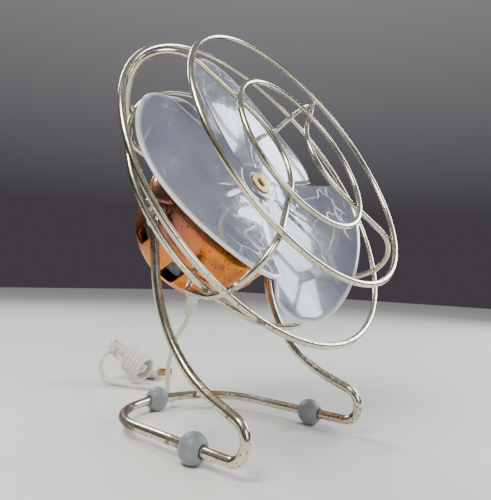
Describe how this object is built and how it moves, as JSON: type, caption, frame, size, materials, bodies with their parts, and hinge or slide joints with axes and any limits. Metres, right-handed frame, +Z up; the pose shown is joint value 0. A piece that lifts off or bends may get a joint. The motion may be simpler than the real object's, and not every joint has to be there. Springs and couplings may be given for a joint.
{
  "type": "desk fan",
  "caption": "Desk fan with clear lobed blades in an open wire guard, a round motor pot tilting on a bent rod stand with ball feet, and a folded lead with a plug.",
  "frame": {"origin": "on the standing surface under the middle of the fan's own box, the lead left out", "axes": "+Z up, the fan blows towards -Y and upwards, +X is the pivot line towards the fan's left as it faces -Y"},
  "size_m": [0.3098, 0.3838, 0.3528],
  "materials": {
    "chrome_wire": "aged chrome plating on steel wire and rod",
    "copper_plate": "polished copper plating on pressed steel",
    "copper_wire": "enamelled winding wire",
    "laminations": "stacked electrical steel",
    "bronze": "sintered bronze",
    "brass": "turned or stamped brass",
    "clear_plastic": "moulded clear plastic, hazed with age",
    "grey_rubber": "satin grey rubber",
    "ivory_vinyl": "soft vinyl",
    "steel": "plain steel"
  },
  "bodies": {
    "stand": {"left_leg": "chrome_wire", "right_leg": "chrome_wire", "base_bow": "chrome_wire", "left_ball_foot": "grey_rubber", "right_ball_foot": "grey_rubber", "rear_ball_foot": "grey_rubber", "power_cord": "ivory_vinyl", "cord_hank": "ivory_vinyl", "cord_tail": "ivory_vinyl", "plug_body": "ivory_vinyl", "plug_blade_1": "brass", "plug_blade_2": "brass"},
    "head": {"front_shell": "copper_plate", "rear_shell": "copper_plate", "through_bolt_1": "steel", "through_bolt_2": "steel", "through_bolt_3": "steel", "through_bolt_4": "steel", "stator_core": "laminations", "stator_coil_1": "copper_wire", "stator_coil_2": "copper_wire", "stator_coil_3": "copper_wire", "stator_coil_4": "copper_wire", "front_bearing": "bronze", "rear_bearing": "bronze", "guard_outer_ring": "chrome_wire", "guard_front_ring": "chrome_wire", "guard_small_ring": "chrome_wire", "guard_rear_ring": "chrome_wire", "guard_hairpin_left": "chrome_wire", "guard_hairpin_right": "chrome_wire", "guard_socket_1": "chrome_wire", "guard_socket_2": "chrome_wire", "guard_socket_3": "chrome_wire", "guard_socket_4": "chrome_wire", "left_pivot_spacer": "steel", "left_pivot_washer": "steel", "left_pivot_screw": "steel", "right_pivot_spacer": "steel", "right_pivot_washer": "steel", "right_pivot_screw": "steel", "cord_grommet": "ivory_vinyl"},
    "rotor": {"motor_shaft": "steel", "armature": "laminations", "front_thrust_washer": "steel", "rear_thrust_washer": "steel", "fan_blades": "clear_plastic", "hub_insert": "brass", "hub_set_screw": "steel"}
  },
  "joints": [
    {"name": "head_tilt", "type": "hinge", "parent": "stand", "child": "head", "pos_m": [0, 0.04221, 0.184], "axis": [-1, 0, 0], "range_deg": [-18, 56]},
    {"name": "fan_spin", "type": "hinge", "parent": "head", "child": "rotor", "pos_m": [0, 0.04221, 0.184], "axis": [0, -0.8805, 0.4741], "continuous": true}
  ]
}
